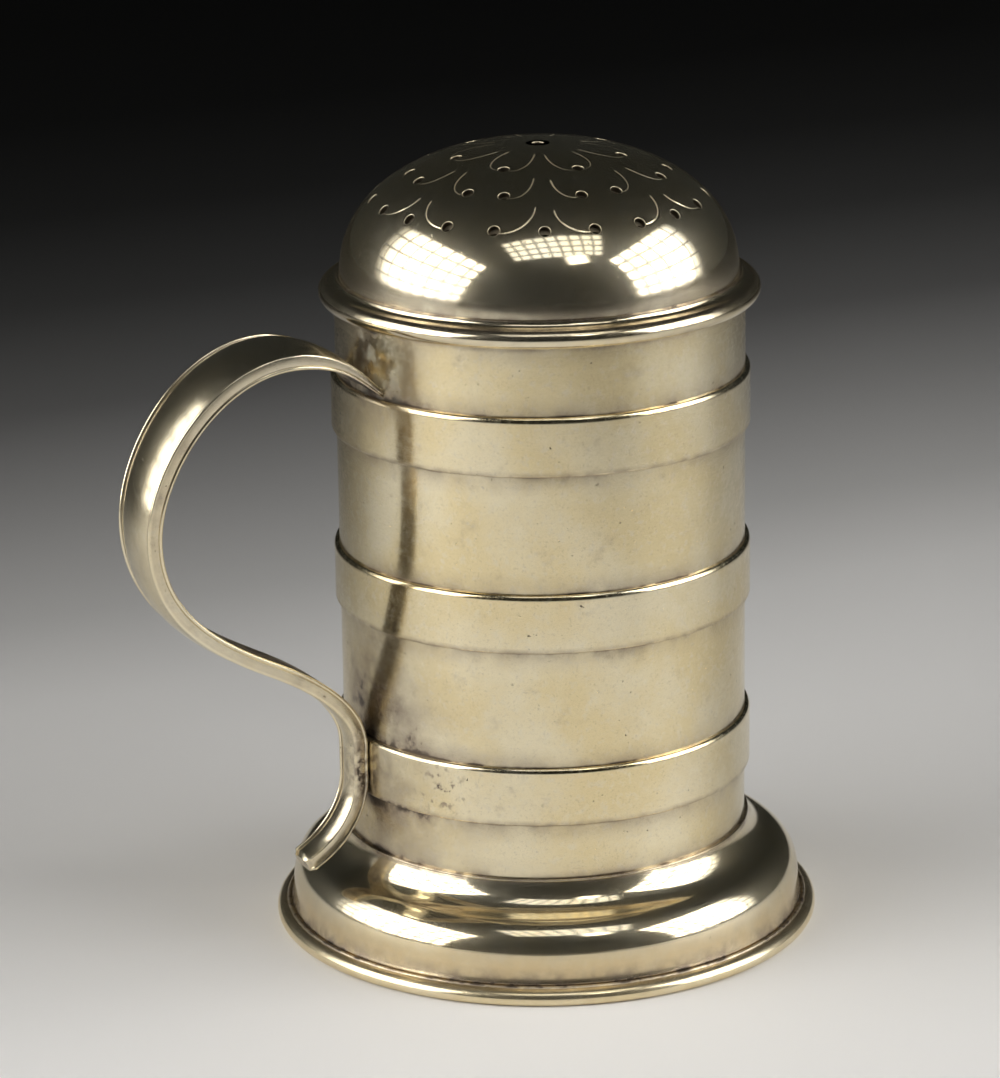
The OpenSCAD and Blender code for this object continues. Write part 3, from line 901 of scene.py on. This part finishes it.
class Dome:
    """One face of the dome sheet: a grid round the axis, finer at strokes and holes."""

    def __init__(self, radius, height, split, outside):
        self.radius = radius
        self.height = height
        self.split = split
        self.outside = outside
        t = np.radians(np.linspace(90, 0, DOME_STEPS + 1))
        r = radius * np.cos(t).clip(0) ** (2 / DOME_POWER)
        z = height * np.sin(t).clip(0) ** (2 / DOME_POWER)
        run = np.concatenate([[0], np.cumsum(np.hypot(np.diff(r), np.diff(z)))])
        self.table = run, r, z
        self.start = np.interp(centre_edge, r, run)
        self.rows = round((run[-1] - self.start) / CELL)
        self.step = (run[-1] - self.start) / self.rows
        self.points = []
        self.index = {}
        self.faces = []
        self.kind = np.zeros((CELLS_ROUND, self.rows), int)
        self.blocks = []

    def lift(self, x, y):
        """Height of the sheet over a point."""
        share = np.clip(np.hypot(x, y) / self.radius, 0, 1)
        return self.height * (1 - share**DOME_POWER) ** (1 / DOME_POWER)

    def slope(self, points):
        """Unit normals of the sheet."""
        r = np.maximum(np.hypot(points[:, 0], points[:, 1]), TINY)
        out = (r / self.radius) ** (DOME_POWER - 1) / self.radius
        up = (np.clip(points[:, 2], 0, None) / self.height) ** (DOME_POWER - 1) / self.height
        return unit(np.stack([out * points[:, 0] / r, out * points[:, 1] / r, up], axis=1))

    def cell(self, radius, turn):
        """Cell, as two real numbers, under a radius and an angle."""
        run, r, _ = self.table
        down = (np.interp(radius, r, run) - self.start) / self.step
        return np.mod(turn, 360) / 360 * CELLS_ROUND, down

    def mark(self, holes, strokes):
        """Sets the kind of each cell: 0 plain, 1 split for a stroke, 2 taken up by a hole."""
        for radius, turn, half, _ in strokes:
            round_at, down_at = self.cell(radius, turn)
            room = half.max() + STROKE_ROOM
            for shift_down in (-room, 0, room):
                for shift_round in (-room, 0, room):
                    cell_round = self.cells_of(shift_round, radius)
                    i = np.floor(round_at + cell_round).astype(int) % CELLS_ROUND
                    j = np.floor(down_at + shift_down / self.step).astype(int)
                    self.kind[i, j] = 1
        for radius, turn in holes:
            round_at, down_at = self.cell(radius, turn)
            wide = self.cells_of(HOLE_ROOM, radius)
            tall = HOLE_ROOM / self.step
            block = (
                math.floor(round_at - wide),
                math.floor(round_at + wide) + 1,
                math.floor(down_at - tall),
                math.floor(down_at + tall) + 1,
            )
            self.blocks.append((block, radius, turn))
            for i in range(block[0], block[1]):
                self.kind[i % CELLS_ROUND, block[2] : block[3]] = 2

    def cells_of(self, length, radius):
        """How many cells a length round the axis covers at a radius."""
        return length / radius / (2 * math.pi) * CELLS_ROUND

    def vertex(self, i, j):
        """Number of the point at a place of the fine grid."""
        key = (i % (CELLS_ROUND * self.split), j)
        if key not in self.index:
            run, r, z = self.table
            at = self.start + j / self.split * self.step
            radius = np.interp(at, run, r)
            turn = 2 * math.pi * key[0] / (CELLS_ROUND * self.split)
            self.index[key] = len(self.points)
            self.points.append((radius * math.cos(turn), radius * math.sin(turn), np.interp(at, run, z)))
        return self.index[key]

    def side(self, start, end):
        """Points of the fine grid from one corner up to, but without, the next."""
        (i, j), (m, n) = start, end
        steps = max(abs(m - i), abs(n - j))
        return [self.vertex(i + (m - i) * k // steps, j + (n - j) * k // steps) for k in range(steps)]

    def outline(self, i, j, m, n, fine):
        """Points round a block of cells. Sides that aren't fine have their corners only."""
        s = self.split
        corners = ((i * s, j * s), (i * s, n * s), (m * s, n * s), (m * s, j * s))
        out = []
        for k in range(4):
            points = self.side(corners[k], corners[(k + 1) % 4])
            out.extend(points if fine[k] else points[:1])
        return out

    def build(self, holes, strokes):
        self.mark(holes, strokes)
        s = self.split
        for i in range(CELLS_ROUND):
            for j in range(self.rows):
                if self.kind[i, j] == 0:
                    self.faces.append(self.outline(i, j, i + 1, j + 1, self.fine_sides(i, j)))
                elif self.kind[i, j] == 1:
                    self.split_cell(i * s, j * s)
        for block, radius, turn in self.blocks:
            self.pierce(self.outline(*block[::2], *block[1::2], (True,) * 4), radius, turn)
        self.pierce([self.vertex(-k, 0) for k in self.crown_steps()], 0.0, 0.0)
        return self

    def crown_steps(self):
        """Places of the points round the crown: all of them at a split cell, and one at a plain cell."""
        s = self.split
        out = []
        for i in range(CELLS_ROUND):
            fine = self.kind[-1 - i, 0] > 0
            out.extend(range(i * s, i * s + s) if fine else [i * s])
        return out

    def fine_sides(self, i, j):
        """Which sides of a plain cell border on a split cell or on a hole."""
        before = self.kind[i - 1, j] > 0
        below = j + 1 < self.rows and self.kind[i, j + 1] > 0
        after = self.kind[(i + 1) % CELLS_ROUND, j] > 0
        above = j > 0 and self.kind[i, j - 1] > 0
        return before, below, after, above

    def lower_edge(self):
        """Points along the lower edge, one to a cell."""
        return [self.vertex(i * self.split, self.rows * self.split) for i in range(CELLS_ROUND)]

    def split_cell(self, i, j):
        for a in range(self.split):
            for b in range(self.split):
                corners = ((i + a, j + b), (i + a, j + b + 1), (i + a + 1, j + b + 1), (i + a + 1, j + b))
                self.faces.append([self.vertex(*corner) for corner in corners])

    def pierce(self, loop, radius, turn):
        """Rings of faces from a loop of points to a round hole, and the wall of the hole."""
        angle = math.radians(turn)
        centre = np.array((radius * math.cos(angle), radius * math.sin(angle), 0.0))
        centre[2] = self.lift(centre[0], centre[1])
        normal = self.slope(centre[None])[0]
        across = np.array((-math.sin(angle), math.cos(angle), 0.0))
        down = np.cross(across, normal)
        edge = np.array([self.points[k] for k in loop])
        spread = edge - centre
        around = np.arctan2(spread @ across, spread @ down)
        ways = np.cos(around)[:, None] * down + np.sin(around)[:, None] * across
        lip = hole_lip if self.outside else 0.0
        target = centre + ways * (hole_r + lip)
        rings = []
        for k in range(1, HOLE_RINGS + 1):
            flat = mix(edge, target, k / HOLE_RINGS)
            flat[:, 2] = self.lift(flat[:, 0], flat[:, 1])
            rings.append(flat)
        if self.outside:
            edge_ring = rings[-1]
            for a in np.radians(LIP_TURNS):
                rings.append(edge_ring - ways * lip * math.sin(a) - normal * lip * (1 - math.cos(a)))
            for depth in (lip + hole_shade, dome_t + wall_past):
                rings.append(edge_ring - ways * lip - normal * depth)
        loops = [loop]
        for ring in rings:
            loops.append(list(range(len(self.points), len(self.points) + len(ring))))
            self.points.extend(map(tuple, ring))
        count = len(loop)
        for outer, inner in zip(loops, loops[1:]):
            for k in range(count):
                after = (k + 1) % count
                self.faces.append([outer[k], outer[after], inner[after], inner[k]])

    def engraved(self, strokes):
        """The points with the strokes cut into the sheet, and their depths."""
        points = np.array(self.points)
        cut = np.zeros(len(points))
        for radius, turn, half, depth in strokes:
            angle = np.radians(turn)
            path = np.stack([radius * np.cos(angle), radius * np.sin(angle)], axis=1)
            path = np.column_stack([path, self.lift(path[:, 0], path[:, 1])])
            near = np.all(np.abs(points - path.mean(0)) < np.ptp(path, axis=0) / 2 + STROKE_SEARCH, axis=1)
            close = np.flatnonzero(near)
            gaps = np.linalg.norm(points[close][:, None] - path[None], axis=2)
            best = gaps.argmin(1)
            share = gaps[np.arange(len(close)), best] / np.maximum(half[best], TINY)
            groove = depth[best] * np.clip(1 - share**GROOVE_POWER, 0, 1)
            cut[close] = np.maximum(cut[close], groove)
        return points - self.slope(points) * cut[:, None], cut


def point_normals(points, faces):
    """Normals at the points of a mesh, as Blender averages them."""
    mesh = bpy.data.meshes.new("scratch")
    mesh.from_pydata(points.tolist(), [], faces)
    mesh.update()
    out = np.zeros(len(points) * 3, np.float32)
    mesh.vertex_normals.foreach_get("vector", out)
    bpy.data.meshes.remove(mesh)
    return out.reshape(-1, 3).astype(float)


def dome_mesh():
    holes = dome_holes()
    strokes = dome_strokes()
    outer = Dome(dome_r, dome_h, ENGRAVED_SPLIT, True).build(holes, strokes)
    inner = Dome(dome_r - dome_t, dome_h - dome_t, PLAIN_SPLIT, False).build(holes, [])
    flat = np.array(outer.points)
    cut_points, cut = outer.engraved(strokes)
    plain = outer.slope(flat)
    sunk = (outer.lift(flat[:, 0], flat[:, 1]) - flat[:, 2]) * plain[:, 2]
    on_sheet = np.abs(sunk) < ON_SHEET
    averaged = point_normals(cut_points, outer.faces)
    turned = plain + averaged - point_normals(flat, outer.faces)
    normals = np.where(on_sheet[:, None], turned, averaged)
    engraved = STROKE_MARK * np.clip(STROKE_GAIN * cut / stroke_depth, 0, 1)
    worked = np.where(on_sheet, engraved, HOLE_MARK)
    worked[~on_sheet & (sunk < hole_lip + hole_shade / 2)] = STROKE_MARK
    inside = np.array(inner.points)
    shift = len(flat)
    faces = outer.faces + [[shift + k for k in face[::-1]] for face in inner.faces]
    outer_edge = outer.lower_edge()
    inner_edge = [shift + k for k in inner.lower_edge()]
    for i in range(CELLS_ROUND):
        after = (i + 1) % CELLS_ROUND
        faces.append([outer_edge[after], outer_edge[i], inner_edge[i], inner_edge[after]])
    points = np.concatenate([cut_points, inside])
    normals = unit(np.concatenate([normals, -inner.slope(inside)]))
    points[:, 2] += seat_z
    worked = np.concatenate([worked, np.full(len(inside), INSIDE_MARK)])
    return points, faces, normals, worked


dome_points, dome_faces, dome_normals, dome_worked = dome_mesh()
show(
    "silver_cover_dome", dome_points, dome_faces, "cover_dome", "silver_polished",
    polished_dome, dome_normals, worked=dome_worked,
)

# Stage: a pale table with a painted pool of light, two gridded soft lights at the sides and two lights
# overhead

CAMERA_AZIMUTH = -28.5
CAMERA_PITCH = 17.676
CAMERA_DISTANCE = 0.6595
CAMERA_LENS = 153.54
CAMERA_ROLL = 0.652
CAMERA_SHIFT = (-0.03949, 0.02287)
CAMERA_NEAR = 0.01
SENSOR = 36.0
camera_target = Vector((0.0, 0.0, 0.0522))


def direction(azimuth, elevation):
    """Unit vector to a place round the object, from the camera's side at azimuth 0."""
    a = math.radians(CAMERA_AZIMUTH + azimuth)
    e = math.radians(elevation)
    return Vector((math.sin(a) * math.cos(e), -math.cos(a) * math.cos(e), math.sin(e)))


# The table's colour holds a painted pool of light: it is brightest in a strip that runs across in front of
# the object, and fades on both sides of it.
# Near the object it is turned a little, so that it fades sooner on the left.
POOL_FRONT = 0.15
POOL_REACH = 0.9
PAINTED_POOL = (
    (0.0, 0.9), (0.1, 0.87), (0.15, 0.77), (0.21, 0.71), (0.28, 0.57), (0.33, 0.38),
    (0.4, 0.225), (0.47, 0.096), (0.56, 0.036), (0.65, 0.013), (0.76, 0.004), (0.9, 0.002),
)
TURN_ROOM = 0.15
TURN_SLOPE = 0.5
# Towards its ends the painted strip of light fades as well, sooner on the right
ENDS_REACH = 1.0
PAINTED_ENDS = (
    (-1.0, 0.2), (-0.5, 0.5), (-0.25, 0.9), (-0.12, 1.0),
    (0.07, 1.0), (0.19, 0.74), (0.4, 0.43), (1.0, 0.15),
)
TABLE_DARK = (0.004, 0.004, 0.004)
TABLE_HALF = 3.0
# Shares of red, green and blue in the pale paper
PAPER_TINT = (1.0, 0.99, 0.985)
PAPER_ROUGH = 0.6
PAPER_SHINE = 0.15
# Corners of a square, for the table and the lights
CORNERS = ((-1, -1), (1, -1), (1, 1), (-1, 1))


def add_table():
    mesh = bpy.data.meshes.new("table")
    points = [(a * TABLE_HALF, b * TABLE_HALF, 0) for a, b in CORNERS]
    mesh.from_pydata(points, [], [(0, 1, 2, 3)])
    paper = Surface("table_paper")
    behind = paper.along(direction(180, 0))
    beside = paper.along(direction(90, 0))
    most = TURN_ROOM * TURN_SLOPE
    turned = paper.span(beside, -TURN_ROOM, TURN_ROOM, most, -most, smooth=False)
    far = paper.math("ABSOLUTE", paper.total(behind, turned, POOL_FRONT))
    # Painted light: the paper's colour is darkened away from the strip, towards the dark table colour.
    painted_pool = paper.ramp(
        paper.span(far, 0.0, POOL_REACH, smooth=False),
        [(d / POOL_REACH, tuple(v * share for share in PAPER_TINT)) for d, v in PAINTED_POOL],
    )
    ends = paper.ramp(
        paper.span(beside, -ENDS_REACH, ENDS_REACH, smooth=False),
        [((d / ENDS_REACH + 1) / 2, v) for d, v in PAINTED_ENDS],
    )
    paper.feed(paper.shader.inputs["Base Color"], paper.mix(ends, TABLE_DARK, painted_pool))
    paper.shader.inputs["Roughness"].default_value = PAPER_ROUGH
    paper.shader.inputs["Specular IOR Level"].default_value = PAPER_SHINE
    mesh.materials.append(paper.material)
    place("table", mesh)


EDGE_FADE = 0.1
# How brightly the bars of a light's grid glow, against its panes
BAR_GLOW = 0.09
LIGHT_TINT = (1.0, 0.988, 0.96, 1.0)
ROOM_GREY = (0.0125, 0.0135, 0.0125, 1.0)


def add_softbox(name, azimuth, elevation, width, height, distance, strength, columns, rows, thick, soft):
    """A soft light behind a grid. Thick is the bars' share of a pane at its left and right,
    and soft the shares of its width over which it fades there."""
    out = direction(azimuth, elevation)
    side = out.cross(Vector((0, 0, 1))).normalized()
    up = side.cross(out).normalized()
    centre = out * distance + camera_target
    mesh = bpy.data.meshes.new(name)
    points = [centre + side * a * width / 2 + up * b * height / 2 for a, b in CORNERS]
    mesh.from_pydata(points, [], [(3, 2, 1, 0)])
    uv = mesh.uv_layers.new(name="panes")
    for loop in mesh.loops:
        a, b = CORNERS[loop.vertex_index]
        uv.data[loop.index].uv = ((a + 1) / 2, (b + 1) / 2)
    glow = Surface(name)
    glow.tree.nodes.remove(glow.shader)
    at = glow.add("ShaderNodeTexCoord").outputs["UV"]
    split = glow.add("ShaderNodeSeparateXYZ")
    glow.feed(split.inputs[0], at)
    bar = glow.span(split.outputs[0], 0.0, 1.0, thick[0], thick[1], smooth=False)
    grid = []
    for socket, count in zip(split.outputs[:2], (columns, rows)):
        within = glow.math("PINGPONG", glow.math("MULTIPLY", socket, float(count)), 0.5)
        grid.append(glow.math("GREATER_THAN", within, bar))
    shares = [glow.span(glow.times(*grid), 0.0, 1.0, BAR_GLOW, 1.0, smooth=False)]
    shares.append(glow.span(split.outputs[0], 0.0, soft[0]))
    shares.append(glow.span(split.outputs[0], 1.0, 1.0 - soft[1]))
    shares.append(glow.span(glow.math("PINGPONG", split.outputs[1], 0.5), 0.0, EDGE_FADE))
    emit = glow.add("ShaderNodeEmission")
    glow.feed(emit.inputs["Strength"], glow.times(strength, *shares))
    emit.inputs["Color"].default_value = LIGHT_TINT
    glow.feed(glow.tree.nodes["Material Output"].inputs["Surface"], emit.outputs[0])
    mesh.materials.append(glow.material)
    box = place(name, mesh)
    box.visible_camera = False


def add_camera():
    out = direction(0, CAMERA_PITCH)
    side = Vector((0, 0, 1)).cross(out).normalized()
    up = out.cross(side)
    roll = math.radians(CAMERA_ROLL)
    right = side * math.cos(roll) - up * math.sin(roll)
    top = side * math.sin(roll) + up * math.cos(roll)
    data = bpy.data.cameras.new("photo_camera")
    data.sensor_fit = "VERTICAL"
    data.sensor_height = SENSOR
    data.lens = CAMERA_LENS
    data.shift_x, data.shift_y = CAMERA_SHIFT
    data.clip_start = CAMERA_NEAR
    camera = place("photo_camera", data)
    turn = Matrix((right, top, out)).transposed().to_4x4()
    camera.matrix_world = Matrix.Translation(camera_target + out * CAMERA_DISTANCE) @ turn
    bpy.context.scene.camera = camera


add_table()
add_softbox(
    "left_light", azimuth=-77, elevation=24, width=1.26, height=0.86, distance=0.92,
    strength=6.3, columns=8, rows=5, thick=(0.16, 0.06), soft=(0.06, 0.45),
)
add_softbox(
    "right_light", azimuth=82, elevation=24, width=0.98, height=0.86, distance=0.95,
    strength=6.4, columns=6, rows=5, thick=(0.06, 0.16), soft=(0.35, 0.06),
)
add_softbox(
    "top_light", azimuth=15, elevation=63, width=0.72, height=0.36, distance=0.9,
    strength=2.0, columns=9, rows=4, thick=(0.12, 0.12), soft=(0.05, 0.05),
)
add_softbox(
    "small_light", azimuth=28, elevation=48, width=0.2, height=0.13, distance=0.82,
    strength=5.0, columns=1, rows=1, thick=(0.0, 0.0), soft=(0.4, 0.4),
)
add_camera()

scene = bpy.context.scene
room = bpy.data.worlds.new("dark_room")
room.use_nodes = True
room.node_tree.nodes["Background"].inputs["Color"].default_value = ROOM_GREY
scene.world = room
scene.view_settings.view_transform = "Standard"
